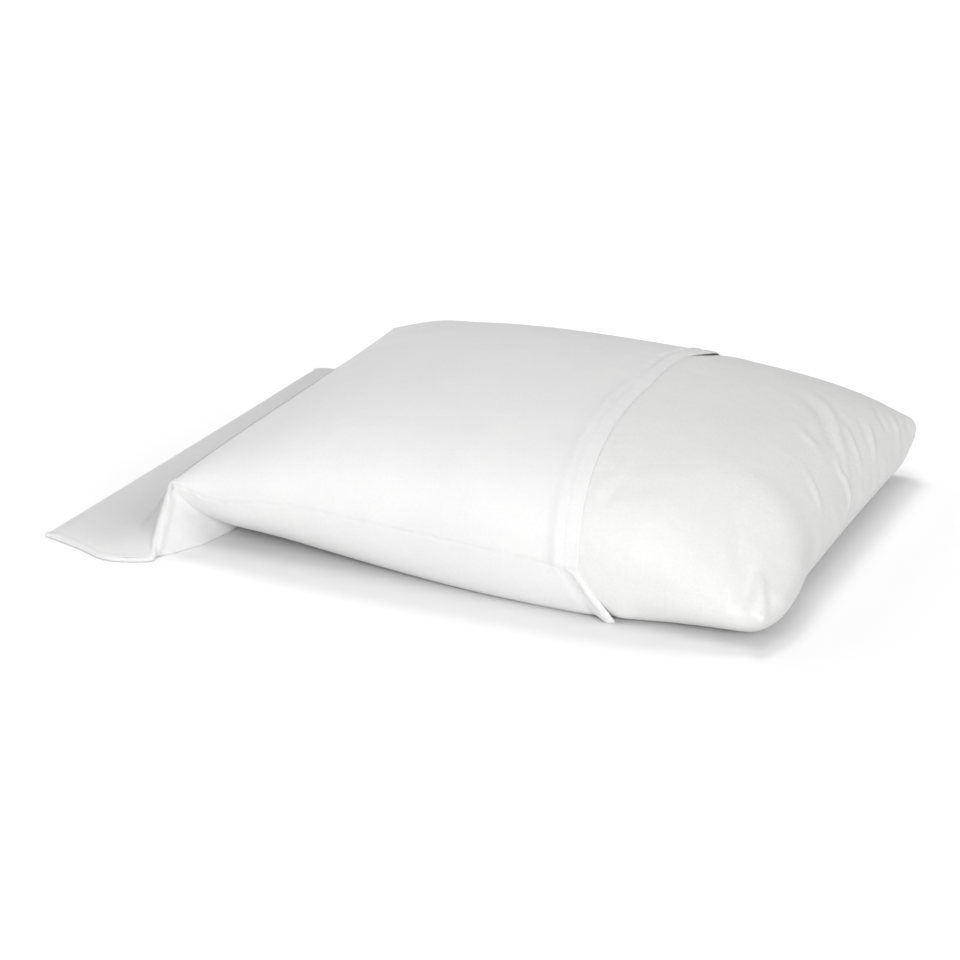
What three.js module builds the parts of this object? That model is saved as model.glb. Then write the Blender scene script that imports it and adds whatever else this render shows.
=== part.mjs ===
// A pillow protector half drawn over a pillow. Millimetres, +Z up.
// +X runs from the protector's closed end to the bare end of the pillow, +Y from the near side to the far side.
import * as THREE from 'three';

// ---- driving dimensions ----
const SHEET = 1.5;             // thickness of the protector's cloth
const SEAM_GAP = 0.8;          // between the two panels along their seam
const PILLOW_GAP = 1.5;        // between the protector and the pillow inside it
const HEM_WIDTH = 13;          // turned edge at the mouth
const HEM_PROUD = 1.2;         // how far the turned edge stands above its panel
const END_EASE = 2.5;          // more room round the pillow's covered end
const SEAM_STAND = 3.7;        // least height of the empty end, two sheets and the seam inside
const SEAM_LOW = 0.5;          // least height of the seam itself
const RELEASE = 45;            // length over which the pillow swells again past the hem

const PILLOW = { halfLength: 272, nearHalf: 213, farHalf: 218, crown: 131.5, crownFall: 0.7 };
const BOW = { near: 0.016, far: -0.033, right: -0.012, left: -0.049 };   // side bows, share of the half size
const BULGE = {                // how each side rises to the crown
  left: { power: 2.39, root: 0.566 },
  right: { power: 2.49, root: 0.386 },
  near: { power: 2.62, root: 0.386 },
  far: { power: 2.03, root: 0.345 },
};
// values at the closed end, the middle and the bare end of the pillow
const SEAM_HEIGHT = { near: [54.4, 48.6, 29.7], far: [65.8, 54.4, 42] };
const SEAM_DIP = { at: -0.82, width: 0.13, depth: 9 };                   // near seam, beside the closed end
const FOOT_INSET = { near: [107, 18, 37.3], far: [100, 26, 30] };        // side seam to floor contact, in plan
const FOOT_LIFT = { u: 0.45, reach: 0.35, inset: 11 };   // the near side leaves the floor sooner at the bare end
const END_INSET = 28;
const END_PUFF = { v: -0.72, reach: 0.34, out: 6 };      // the bare end's fullest part
const BLUNT_TIP = { v: 0.88, by: 5 };                    // how much the far bare corner is pushed in
// the bare corners hold less filling (near) or more (far): where that starts, and its share at the tip
const CORNER_FILL = [
  { x: 150, y: -95, share: -0.9 },
  { x: 240, y: 190, share: 0.3 },
];

// the mouth of the protector: X at the middle, at the seams and at the floor, and its flare on the far slope
const HEM = { top: 88.5, nearSeam: 112, nearPower: 1.9, farSeam: 88, farDip: 20, nearFloor: 142, farFloor: 92 };
const FLARE = { v: 0.7, reach: 0.22, out: 7 };
const HEM_ROLL = { y: -204, spread: 8, reach: 7 };   // where the hem rolls out at the floor
const TUCK = { x: -228, level: -0.95 };        // where the lower panel leaves the pillow at the closed end

const CELLS = { across: 22, facet: 5, body: 11, bare: 11, tailSteps: 2 };

// Rows of the empty end, from the pillow's end to the closed edge of the protector.
// Seam points near and far; crest of the upper panel; middle and sides of the lower panel's floor contact.
const tailRow = (near, far, crest, foot) => ({ near, far, crest, foot });
const CORNER = { near: [-270.4, -215.3, 54.4], far: [-270.4, 219.5, 65.8] };
const RIDGE_FOOT = { near: [-265, -258, 0.6], far: [-266, 240, 0.6] };
const between = (a, b, t) => a.map((value, i) => value + (b[i] - value) * t);
const ridge = (side, t) => between(CORNER[side], RIDGE_FOOT[side], t);
const TAIL = [
  tailRow(ridge('near', 0.2), ridge('far', 0.2), { x: -278, z: [50, 57, 56], pull: 22, root: 1 },
    { x: -242, near: [-236, -178], far: [-238, 180] }),
  tailRow(ridge('near', 0.5), ridge('far', 0.5), { x: -286, z: [33, 40, 37], pull: 24, root: 1 },
    { x: -250, near: [-243, -210], far: [-246, 205] }),
  tailRow(ridge('near', 0.8), ridge('far', 0.8), { x: -296, z: [18, 25, 22], pull: 20, root: 0.8 },
    { x: -259, near: [-255, -238], far: [-256, 226] }),
  tailRow([-266, -261, SEAM_LOW], [-270, 241, SEAM_LOW], { x: -308, z: [12, 16, 14], pull: 14, root: 0.5 },
    { x: -275, near: [-266, -250], far: [-270, 230] }),
  tailRow([-300, -274, SEAM_LOW], [-303, 243, SEAM_LOW], { x: -333, z: [9, 11, 10], pull: 10, root: 0.5 },
    { x: -304, near: [-300, -215], far: [-303, 190] }),
  tailRow([-336, -263, SEAM_LOW], [-338, 240, SEAM_LOW], { x: -352, z: [8, 8, 10], pull: 8, root: 0.5 },
    { x: -335, near: [-336, -200], far: [-338, 183] }),
  tailRow([-364, -255, SEAM_LOW], [-364, 238, SEAM_LOW], { x: -366, z: [6.5, 6.5, 9], pull: 4, root: 0.5 },
    { x: -361, near: [-364, -194], far: [-364, 181] }),
  tailRow([-378, -252, SEAM_LOW], [-374, 236, SEAM_LOW], { x: -375.5, z: [0.5, 0.5, 0.5], pull: 1, root: 0.5 },
    { x: -375.5, near: [-377, -192], far: [-374, 180] }),
];

const COLOUR = { pillow: 0xf4f4f2, panel: 0xf9f9f8 };

// ---- small helpers ----
const clamp01 = (t) => Math.min(1, Math.max(0, t));
const smooth = (t) => clamp01(t) ** 2 * (3 - 2 * clamp01(t));
const bump = (t) => smooth(1 - Math.abs(t));      // 1 at 0, easing to 0 at 1 either side
const lerp = (a, b, t) => a + (b - a) * t;
const add = (p, d, k) => [p[0] + d[0] * k, p[1] + d[1] * k, p[2] + d[2] * k];
const minus = (a, b) => [a[0] - b[0], a[1] - b[1], a[2] - b[2]];
const dot = (a, b) => a[0] * b[0] + a[1] * b[1] + a[2] * b[2];
const cross = (a, b) => [a[1] * b[2] - a[2] * b[1], a[2] * b[0] - a[0] * b[2], a[0] * b[1] - a[1] * b[0]];
const unit = (a) => {
  const length = Math.hypot(...a) || 1;
  return a.map((value) => value / length);
};
// a quadratic through the values at -1, 0 and +1
const through = ([left, middle, right], t) =>
  middle + ((right - left) / 2) * t + ((right + left) / 2 - middle) * t * t;
// nodes from -1 to 1, closer together towards both ends
const nodes = (cells) =>
  Array.from({ length: cells + 1 }, (_, i) => Math.sin((i / cells - 0.5) * Math.PI));

// ---- the filled pillow: u along its length, v across it, both -1 to 1 ----
const endReach = (u, v) => {
  const bow = u < 0 ? BOW.left : BOW.right;
  const reach = PILLOW.halfLength * (1 + bow * (1 - v * v));
  if (u < 0) return reach;
  const puff = END_PUFF.out * bump((v - END_PUFF.v) / END_PUFF.reach);
  return reach + puff - BLUNT_TIP.by * smooth((v - BLUNT_TIP.v) / (1 - BLUNT_TIP.v));
};
const planX = (u, v) => endReach(u, v) * u;
const planY = (u, v) => (v < 0
  ? PILLOW.nearHalf * (1 + BOW.near * (1 - u * u)) * v
  : PILLOW.farHalf * (1 + BOW.far * (1 - u * u)) * v);
const uAt = (x, v) => x / endReach(x, v);
const nearSeam = (u) =>
  through(SEAM_HEIGHT.near, u) - SEAM_DIP.depth * Math.exp(-(((u - SEAM_DIP.at) / SEAM_DIP.width) ** 2));
const seamHeight = (u, v) => (nearSeam(u) * (1 - v) + through(SEAM_HEIGHT.far, u) * (1 + v)) / 2;

// how full the pillow is towards its corners, against its plain form
const cornerFill = (x, y) => CORNER_FILL.reduce((full, corner) => {
  const endY = corner.y < 0 ? -PILLOW.nearHalf : PILLOW.farHalf;
  const fromX = (x - corner.x) / (PILLOW.halfLength - corner.x);
  const fromY = (y - corner.y) / (endY - corner.y);
  return full * (1 + corner.share * smooth(fromX) * smooth(fromY));
}, 1);

function pillowTop(u, v) {
  const end = u < 0 ? BULGE.left : BULGE.right;
  const side = v < 0 ? BULGE.near : BULGE.far;
  const rise = Math.max(0, 1 - Math.abs(u) ** end.power) ** end.root
    * Math.max(0, 1 - Math.abs(v) ** side.power) ** side.root;
  const seam = seamHeight(u, v);
  const crown = PILLOW.crown - PILLOW.crownFall * u;
  const [x, y] = [planX(u, v), planY(u, v)];
  return [x, y, seam + (crown - seam) * rise * cornerFill(x, y)];
}

function pillowUnder(u, v, roundedEnds) {
  const side = v < 0 ? 'near' : 'far';
  const half = v < 0 ? PILLOW.nearHalf : PILLOW.farHalf;
  const lift = v < 0 ? FOOT_LIFT.inset * smooth((u - FOOT_LIFT.u) / FOOT_LIFT.reach) : 0;
  const across = clamp01(((1 - Math.abs(v)) * half) / Math.max(12, through(FOOT_INSET[side], u) + lift));
  const along = roundedEnds ? clamp01(((1 - Math.abs(u)) * PILLOW.halfLength) / END_INSET) : 1;
  const drop = Math.sqrt(1 - (1 - across) ** 2) * Math.sqrt(1 - (1 - along) ** 2);
  return [planX(u, v), planY(u, v), seamHeight(u, v) * (1 - drop)];
}

// ---- the mouth of the protector ----
const hemTop = (v) => (v < 0
  ? lerp(HEM.top, HEM.nearSeam, (-v) ** HEM.nearPower)
  : lerp(HEM.top, HEM.farSeam, v) - HEM.farDip * v * (1 - v) + FLARE.out * bump((v - FLARE.v) / FLARE.reach));
function hemUnder(v) {
  const u = uAt(HEM.nearSeam, v);
  const [, , z] = pillowUnder(u, v, false);
  const sunk = 1 - z / seamHeight(u, v);
  if (v < 0 && z > 0) return lerp(HEM.nearSeam, HEM.nearFloor, sunk);
  if (v > 0 && z > 0) return lerp(HEM.farSeam, HEM.farFloor, sunk);
  return lerp(HEM.nearFloor, HEM.farFloor, (v + 1) / 2);
}
// end of the stretch where the lower panel hugs the pillow
const tuck = (v) => {
  const sunk = 1 - pillowUnder(TUCK.level, v, false)[2] / seamHeight(TUCK.level, v);
  return lerp(-endReach(-1, v), TUCK.x, sunk);
};

// ---- the panels, as rows of points from the mouth to the closed end ----
const HEM_ROWS = [0, 1.2, HEM_WIDTH / 2, HEM_WIDTH - 1, HEM_WIDTH + 0.8];
const HEM_LIFT = [0.6, 1, 1, 1, 0];          // share of HEM_PROUD on each of those rows
const BODY_START = HEM_WIDTH + 14;

function bodyRows(mouth, end, place) {
  const across = nodes(CELLS.across);
  const rows = HEM_ROWS.map((inset) => across.map((v) => place(mouth(v) - inset, v)));
  for (let i = 0; i <= CELLS.body; i += 1) {
    const share = Math.sin((i / CELLS.body) * (Math.PI / 2));
    rows.push(across.map((v) => place(lerp(mouth(v) - BODY_START, end(v), share), v)));
  }
  return rows;
}

function crestRow({ near, far, crest }) {
  return nodes(CELLS.across).map((v) => {
    const side = v < 0 ? near : far;
    const reach = Math.abs(v);
    const fall = Math.max(0, 1 - reach ** 16) ** crest.root;
    return [
      lerp(crest.x, side[0], reach ** crest.pull),
      Math.abs(side[1]) * v,
      side[2] + (through(crest.z, v) - side[2]) * fall,
    ];
  });
}

function floorRow({ near, far, foot }) {
  const across = nodes(CELLS.across);
  const inner = Math.abs(across[CELLS.facet]);
  return across.map((v, j) => {
    const seam = v < 0 ? near : far;
    const [footX, footY] = v < 0 ? foot.near : foot.far;
    const fromSeam = Math.min(j, CELLS.across - j) / CELLS.facet;
    const flat = seam[2] < 1 && fromSeam > 0;
    if (fromSeam < 1) {
      const [x, y, z] = between(seam, [footX, footY, 0], fromSeam);
      return [x, y, flat ? 0 : z];
    }
    const reach = Math.abs(v) / inner;
    return [lerp(foot.x, footX, smooth(reach ** 3)), footY * reach, 0];
  });
}

// a smooth run of rows through the given ones
function fillRows(rows, steps) {
  const out = [];
  for (let i = 1; i < rows.length - 2; i += 1) {
    for (let k = 0; k < steps; k += 1) {
      const t = k / steps;
      const weight = [
        (-t + 2 * t * t - t ** 3) / 2,
        (2 - 5 * t * t + 3 * t ** 3) / 2,
        (t + 4 * t * t - 3 * t ** 3) / 2,
        (-t * t + t ** 3) / 2,
      ];
      out.push(rows[i].map((_, j) => [0, 1, 2].map((axis) =>
        weight.reduce((sum, w, n) => sum + w * rows[i - 1 + n][j][axis], 0))));
    }
  }
  out.push(rows[rows.length - 2]);
  return out;
}

// straight steps, which keep the creases of the lower panel sharp
const foldRows = (rows, steps) => rows.slice(1, -1).flatMap((row, i, inner) => {
  const next = inner[i + 1];
  if (!next) return [row];
  return Array.from({ length: steps }, (_, k) => row.map((p, j) => between(p, next[j], k / steps)));
});

function panelRows(mouth, end, place, tailOf, fill) {
  const body = bodyRows(mouth, end, place);
  const corner = body[body.length - 1];
  corner[0] = CORNER.near;
  corner[corner.length - 1] = CORNER.far;
  const tail = TAIL.map(tailOf);
  const last = tail[tail.length - 1];
  const beyond = last.map((p, j) => add(p, minus(p, tail[tail.length - 2][j]), 1));
  return [...body.slice(0, -1), ...fill([body[body.length - 2], corner, ...tail, beyond], CELLS.tailSteps)];
}

const onTop = (x, v) => pillowTop(Math.max(-1, uAt(x, v)), v);
const onUnder = (x, v) => pillowUnder(Math.max(-1, uAt(x, v)), v, false);
const pillowEnd = (v) => -endReach(-1, v) * lerp(0.985, 1, v ** 8);
const topRows = () => panelRows(hemTop, pillowEnd, onTop, crestRow, fillRows)
  .map((row, i, rows) => row.map(([x, y, z], j) => {
    const seam = i === rows.length - 1 || j === 0 || j === row.length - 1;
    return [x, y, Math.max(seam ? SEAM_LOW : SEAM_STAND, z)];
  }));
const rolled = ([x, y, z]) => {
  const share = Math.exp(-(((y - HEM_ROLL.y) / HEM_ROLL.spread) ** 2)) * clamp01(1 - z / 20);
  return [x, y - HEM_ROLL.reach * share, z];
};
const underRows = () => panelRows(hemUnder, tuck, onUnder, floorRow, foldRows)
  .map((row, i) => (i < HEM_ROWS.length ? row.map(rolled) : row));

// ---- grids of points to solids ----
function gridNormals(rows, facing) {
  const normals = rows.map((row) => row.map(() => [0, 0, 0]));
  for (let i = 0; i < rows.length - 1; i += 1) {
    for (let j = 0; j < rows[0].length - 1; j += 1) {
      const diagonals = [minus(rows[i + 1][j + 1], rows[i][j]), minus(rows[i][j + 1], rows[i + 1][j])];
      const face = cross(diagonals[1], diagonals[0]);
      for (const [a, b] of [[i, j], [i + 1, j], [i, j + 1], [i + 1, j + 1]]) {
        normals[a][b] = add(normals[a][b], face, facing);
      }
    }
  }
  return normals.map((row) => row.map(unit));
}

// Both panels share one mitred seam: the same inward direction, held apart by the seam gap.
function mitre(upper, lower) {
  const up = gridNormals(upper, 1);
  const down = gridNormals(lower, -1);
  const last = upper.length - 1;
  const wide = upper[0].length - 1;
  const solve = (i, j, along) => {
    const inward = unit(add(up[i][j], down[i][j], 1));
    let aside = unit(cross(inward, along));
    if (dot(aside, up[i][j]) < 0) aside = aside.map((value) => -value);
    return { inward, aside };
  };
  const seams = new Map();
  for (let i = 0; i <= last; i += 1) {
    for (const j of [0, wide]) {
      const along = minus(upper[Math.min(last, i + 1)][j], upper[Math.max(0, i - 1)][j]);
      seams.set(`${i}:${j}`, solve(i, j, along));
    }
  }
  for (let j = 1; j < wide; j += 1) {
    seams.set(`${last}:${j}`, solve(last, j, minus(upper[last][j + 1], upper[last][j - 1])));
  }
  return { up, down, seams };
}

function panelSolid(rows, normals, seams, facing, lift) {
  const outer = [];
  const inner = [];
  rows.forEach((row, i) => row.forEach((point, j) => {
    const seam = seams.get(`${i}:${j}`);
    const raise = lift(i);
    if (seam) {
      const edge = add(point, seam.aside, (facing * SEAM_GAP) / 2);
      outer.push(add(edge, seam.inward, raise));
      inner.push(add(edge, seam.inward, -SHEET));
    } else {
      const [x, y, z] = add(point, normals[i][j], raise);
      outer.push([x, y, Math.max(0, z)]);
      inner.push(add(point, normals[i][j], -SHEET));
    }
  }));
  const wide = rows[0].length;
  const deep = rows.length;
  const half = outer.length;
  const faces = [];
  const quad = (a, b, c, d) => faces.push(...(facing > 0 ? [a, b, c, a, c, d] : [a, c, b, a, d, c]));
  for (let i = 0; i < deep - 1; i += 1) {
    for (let j = 0; j < wide - 1; j += 1) {
      const a = i * wide + j;
      const b = a + wide;
      if (j < (wide - 1) / 2) {
        quad(a + 1, b + 1, b, a);
        quad(half + a + 1, half + a, half + b, half + b + 1);
      } else {
        quad(a, a + 1, b + 1, b);
        quad(half + a, half + b, half + b + 1, half + a + 1);
      }
    }
  }
  for (let i = 0; i < deep - 1; i += 1) {
    const a = i * wide;
    const b = a + wide - 1;
    quad(a, a + wide, half + a + wide, half + a);
    quad(b, half + b, half + b + wide, b + wide);
  }
  for (let j = 0; j < wide - 1; j += 1) {
    const b = (deep - 1) * wide + j;
    quad(j, half + j, half + j + 1, j + 1);
    quad(b, b + 1, half + b + 1, half + b);
  }
  return { points: [...outer, ...inner], faces };
}

// rows of the pillow, from its bare end to its closed end, in step with those of a panel
function pillowPlan(mouth) {
  const across = nodes(CELLS.across);
  const edge = (v) => mouth(v) - 4;
  const bare = Array.from({ length: CELLS.bare + 1 }, (_, i) => {
    const share = Math.sin((1 - i / CELLS.bare) * (Math.PI / 2));
    return across.map((v) => [lerp(edge(v), endReach(1, v), share), v]);
  });
  const covered = bodyRows(mouth, (v) => -endReach(-1, v), (x, v) => [x, v]);
  return [...bare, ...covered.slice(HEM_ROWS.length)];
}

function pillowSolid() {
  const across = nodes(CELLS.across);
  const top = pillowPlan(hemTop).map((row) => row.map(([x, v]) => pillowTop(uAt(x, v), v)));
  const under = pillowPlan(hemUnder).map((row) => row.map(([x, v]) => pillowUnder(uAt(x, v), v, true)));
  const normals = { top: gridNormals(top, 1), under: gridNormals(under, -1) };
  const deep = top.length;
  const wide = across.length;
  const isEdge = (i, j) => i === 0 || j === 0 || i === deep - 1 || j === wide - 1;
  const points = [];
  const index = { top: [], under: [] };
  for (const [side, grid] of [['top', top], ['under', under]]) {
    grid.forEach((row, i) => row.forEach((point, j) => {
      if (side === 'under' && isEdge(i, j)) {
        index.under.push(index.top[i * wide + j]);
        return;
      }
      const out = isEdge(i, j)
        ? unit(add(normals.top[i][j], normals.under[i][j], 1))
        : normals[side][i][j];
      const mouth = side === 'top' ? hemTop(across[j]) : hemUnder(across[j]);
      const held = smooth((mouth + RELEASE - point[0]) / RELEASE);
      const corner = i === deep - 1 && (j === 0 || j === wide - 1) ? 1.6 : 1;
      const ease = END_EASE * smooth(-uAt(point[0], across[j]) * 8 - 7);
      const inset = (SHEET + PILLOW_GAP + ease) * held * corner;
      index[side].push(points.length);
      points.push(add(point, out, -inset));
    }));
  }
  const faces = [];
  for (let i = 0; i < deep - 1; i += 1) {
    for (let j = 0; j < wide - 1; j += 1) {
      const a = i * wide + j;
      const b = a + wide;
      const halves = j < (wide - 1) / 2
        ? [[a, a + 1, b], [a + 1, b + 1, b]]
        : [[a, a + 1, b + 1], [a, b + 1, b]];
      for (const [p, q, r] of halves) {
        faces.push(index.top[p], index.top[q], index.top[r]);
        faces.push(index.under[p], index.under[r], index.under[q]);
      }
    }
  }
  return { points, faces };
}

function solidMesh(name, { points, faces }, colour) {
  const geometry = new THREE.BufferGeometry();
  geometry.setAttribute('position', new THREE.Float32BufferAttribute(points.flat(), 3));
  geometry.setIndex(faces);
  geometry.computeVertexNormals();
  const material = new THREE.MeshStandardMaterial({ color: colour, roughness: 0.85, metalness: 0 });
  const mesh = new THREE.Mesh(geometry, material);
  mesh.name = name;
  return mesh;
}

// ---- the whole part ----
const upperRows = topRows();
const lowerRows = underRows().map((row, i) => row.map((point, j) => {
  const seam = j === 0 || j === row.length - 1 || i === upperRows.length - 1;
  return seam ? upperRows[i][j] : point;
}));
const { up, down, seams } = mitre(upperRows, lowerRows);
const hemLift = (i) => (HEM_LIFT[i] ?? 0) * HEM_PROUD;

const part = new THREE.Group();
part.name = 'pillow_protector_on_pillow';
part.add(solidMesh('pillow', pillowSolid(), COLOUR.pillow));
part.add(solidMesh('upper_panel', panelSolid(upperRows, up, seams, 1, hemLift), COLOUR.panel));
part.add(solidMesh('lower_panel', panelSolid(lowerRows, down, seams, -1, hemLift), COLOUR.panel));

const box = new THREE.Box3().setFromObject(part);
const centre = box.getCenter(new THREE.Vector3());
part.children.forEach((mesh) => mesh.geometry.translate(-centre.x, -centre.y, -box.min.z));

export default part;
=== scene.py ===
"""A white pillow protector drawn part of the way over a white pillow, lying on a pale floor."""

import math

import bpy
import numpy as np
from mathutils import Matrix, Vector
from mathutils.bvhtree import BVHTree


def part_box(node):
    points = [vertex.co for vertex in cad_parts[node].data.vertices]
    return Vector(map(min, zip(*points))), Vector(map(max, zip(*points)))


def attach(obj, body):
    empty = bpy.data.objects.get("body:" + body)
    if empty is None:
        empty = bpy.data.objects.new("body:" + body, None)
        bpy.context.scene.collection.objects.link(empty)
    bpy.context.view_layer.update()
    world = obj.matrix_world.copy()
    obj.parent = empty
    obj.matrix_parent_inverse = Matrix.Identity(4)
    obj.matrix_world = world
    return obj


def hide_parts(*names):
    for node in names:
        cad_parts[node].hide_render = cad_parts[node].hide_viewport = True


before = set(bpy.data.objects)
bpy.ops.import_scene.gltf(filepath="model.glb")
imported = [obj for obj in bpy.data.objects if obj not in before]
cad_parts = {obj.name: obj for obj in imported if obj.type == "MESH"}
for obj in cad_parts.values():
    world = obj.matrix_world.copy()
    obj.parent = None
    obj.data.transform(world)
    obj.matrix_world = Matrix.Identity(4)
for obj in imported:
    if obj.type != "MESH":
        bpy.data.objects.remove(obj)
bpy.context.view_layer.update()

MM = 0.001
EASED_BACK = dict(share=0.3, spread=5)              # the shallow trough beside a fold, against the fold

# ---- sizes in millimetres, measured from the middle of the pillow: X to its bare end, Y to the far side ----
CLOTH = 0.8                                         # thickness of the protector's cloth
FLOOR_GAP = 0.02                                    # how far everything stays above the floor

PILLOW = dict(half_length=272.0, near_half=213.0, far_half=218.0, crown=131.5, crown_fall=0.7)
# how far the middle of each side stands out, as a share (below zero it is drawn in)
BOW = dict(near=0.016, far=-0.033, right=-0.012, left=-0.049)
# how the form falls to each side, as a power and a root: higher powers are flatter, lower roots steeper
BULGE = dict(left=(2.39, 0.566), right=(2.49, 0.386), near=(2.62, 0.386), far=(2.03, 0.345))
# at the covered end, the middle and the bare end: the seam's height, and how far in from the side the
# underside meets the floor
SEAM_HEIGHT = dict(near=(54.4, 48.6, 29.7), far=(65.8, 54.4, 42.0))
FOOT_INSET = dict(near=(107.0, 18.0, 37.3), far=(100.0, 26.0, 30.0), least=12.0)
END_INSET = 28.0                                    # the same for both ends
SEAM_DIP = dict(u=-0.82, width=0.13, depth=9.0)     # the near seam is lower beside the covered corner
FOOT_LIFT = dict(u=0.45, reach=0.35, inset=11.0)    # the near side leaves the floor sooner at the bare end
END_PUFF = dict(v=-0.72, reach=0.34, out=6.0)       # the bare end's fullest part
BLUNT_TIP = dict(v=0.88, by=5.0)                    # how much the far bare corner is pushed in
# where the bare corners hold less filling (near) or more (far): start x, start y, share
CORNER_FILL = (dict(x=150.0, y=-95.0, share=-0.9), dict(x=240.0, y=190.0, share=0.3))
SHOULDER = dict(x=-203.0, y=192.0, reach=(52.0, 24.0), rise=2.2)    # the covered end's far shoulder is fuller

HEM = dict(top=88.5, near_seam=112.0, near_power=1.9, far_seam=88.0, far_dip=20.0,
           near_floor=142.0, far_floor=92.0)        # where the mouth's edge crosses the pillow
HEM_BAND = dict(width=13.0, proud=0.8, crown=0.12, end=10.6, fade=3.2)      # the doubled cloth
HEM_EDGE = dict(low=-0.74, radius=1.6)              # the folded edge curls down onto the pillow
# on the far side the mouth gapes: it stands off the pillow, which dips, and its edge reaches further
HEM_LIFT = dict(v=0.7, reach=0.22, height=0.5, fade=22.0, dip=1.8, flare=7.0)
HEM_ROLL = dict(edge=3.4, flat=4.5, fall=6.5, height=2.4)       # the near side's hem, rolled on itself
# the roll leans out where it meets the floor
HEM_LEAN = dict(y=-204.0, spread=8.0, reach=7.0, below=20.0, inset=9.0, fade=12.0)
STITCH = dict(inset=12.5, pitch=3.1, length=2.3, thread=0.42, proud=0.02, clear=4.0)
THREAD_LIFT = 0.6                                   # the thread's middle above the floor, of its thickness

# How far the pillow lies under the protector, where it comes free of it, and how slack its bare part starts.
# It is eased in further in the last eighth of its covered end, where the panels draw in round it.
COVER = dict(under=1.0, release=7.0, fade=10.0, slack=0.8, slack_over=40.0, dip_over=20.0,
             end_ease=3.0, parts=8)
# the upper panel turns down just short of the pillow's end, and the lower panel is drawn in under it
CLOSED_END = dict(share=0.985, power=8)
TUCK = dict(x=-228.0, u=-0.95)

# the covered corners, and where the ridge that runs down from each of them meets the floor
CORNER = dict(near=(-270.4, -215.3, 54.4), far=(-270.4, 219.5, 65.8))
RIDGE_FOOT = dict(near=(-265.0, -258.0, 0.6), far=(-266.0, 240.0, 0.6))
FACET_SHARE = 5 / 22                                # the folded triangle below each corner, of a row's cells
FALLS_WITHIN = 5                                    # a seam on the floor drops in a fifth of that triangle
CREST_POWER = 16                                    # how late a crest falls to its seams

# Rows of the empty end: where on the ridge (or the seam point itself), crest x, crest heights,
# pull to the seam, roundness of the rim; and the lower panel's floor contact, middle and sides.
TAIL = (
    dict(ridge=0.2, crest=-278, z=(50, 57, 56), pull=22, root=1.0,
         mid=-242, near=(-236, -178), far=(-238, 180)),
    dict(ridge=0.5, crest=-286, z=(33, 40, 37), pull=24, root=1.0,
         mid=-250, near=(-243, -210), far=(-246, 205)),
    dict(ridge=0.8, crest=-296, z=(18, 25, 22), pull=20, root=0.8,
         mid=-259, near=(-255, -238), far=(-256, 226)),
    dict(seam=((-266, -261), (-270, 241)), crest=-308, z=(12, 16, 14), pull=14, root=0.5,
         mid=-275, near=(-266, -250), far=(-270, 230)),
    dict(seam=((-300, -274), (-303, 243)), crest=-333, z=(9, 11, 10), pull=10, root=0.5,
         mid=-304, near=(-300, -215), far=(-303, 190)),
    dict(seam=((-336, -263), (-338, 240)), crest=-352, z=(8, 8, 10), pull=8, root=0.5,
         mid=-335, near=(-336, -200), far=(-338, 183)),
    dict(seam=((-364, -255), (-364, 238)), crest=-366, z=(6.5, 6.5, 9), pull=4, root=0.5,
         mid=-361, near=(-364, -194), far=(-364, 181)),
    dict(seam=((-378, -252), (-374, 236)), crest=-375.5, z=(0.5, 0.5, 0.5), pull=1, root=0.5,
         mid=-375.5, near=(-377, -192), far=(-374, 180)),
)
SEAM_LOW = 0.5              # the empty end's seams lie on the floor
SEAM_STAND = 2.2            # the least height of the upper panel beside them
END_SEAM = dict(depth=0.4, gap=0.1)         # where the inner faces meet, in cells from the end seam

# ---- cells of the panels and the pillow ----
FACING = dict(upper=1, lower=-1)
ACROSS = dict(upper=198, lower=110)         # from the near seam to the far seam
SEAM_CELLS = (0.05, 0.12, 0.2, 0.3, 0.42, 0.56, 0.74)   # more columns in the cell beside each seam
# rows behind the mouth's edge, close together along the hem's fold and its stitches
HEM_STEPS = (0, 0.04, 0.16, 0.36, 0.65, 1.0, 1.5, 2.2, 3, 4, 5, 6, 7, 8, 8.8, 9.6, 10.4, 11, 11.5, 12, 12.5,
             13, 13.6, 14.4, 15.4, 16.6, 18, 19.5, 21, 23, 25, 27)
BEHIND_HEM = 100.0          # stands for every row further in
BODY_STEPS = 110
TAIL_STEPS = 9
TAIL_FROM = len(HEM_STEPS) + BODY_STEPS
LEAD_IN = -4.0              # cells before the corner where a guide row steers the tail's curve
PILLOW_CELLS = dict(across=96, bare=60, covered=90, split=4.0)      # the split lies inside the mouth

# uneven waves along a seam: their pitches in millimetres, and the seed of their places
WAVES = dict(near_puckers=((17, 11.3, 29), 3), far_puckers=((15, 12.1, 33), 4),
             upper_gathers=((9.5, 13.7, 21), 7), hem_ripples=((14, 23), 8), lower_gathers=((11, 17), 9),
             bare_gathers=((61, 37, 22.7), 12), bare_ripples=((8.3, 10.9), 13))

# the frame's origin, in metres from the middle of the pillow
ORIGIN = np.array([TAIL[-1]["seam"][0][0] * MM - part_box("upper_panel")[0].x,
                   PILLOW["far_half"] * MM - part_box("pillow")[1].y, 0.0])


# ---- camera: bearing from the near side and height in degrees, metres, and the lens in millimetres ----
VIEW = dict(azimuth=24.9, elevation=21.6, distance=2.325, lens=94.3, target=(-0.0893, 0.0293, 0.0))


def new_object(name, data):
    thing = bpy.data.objects.new(name, data)
    bpy.context.scene.collection.objects.link(thing)
    return thing


def aim(thing, target, azimuth, elevation, distance):
    """Stands a lamp or camera off from the target, and turns it to face it."""
    turn, lift = math.radians(azimuth), math.radians(elevation)
    back = Vector((math.sin(turn) * math.cos(lift), -math.cos(turn) * math.cos(lift), math.sin(lift)))
    thing.location = target + back * distance
    thing.rotation_euler = (-back).to_track_quat("-Z", "Y").to_euler()


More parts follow.
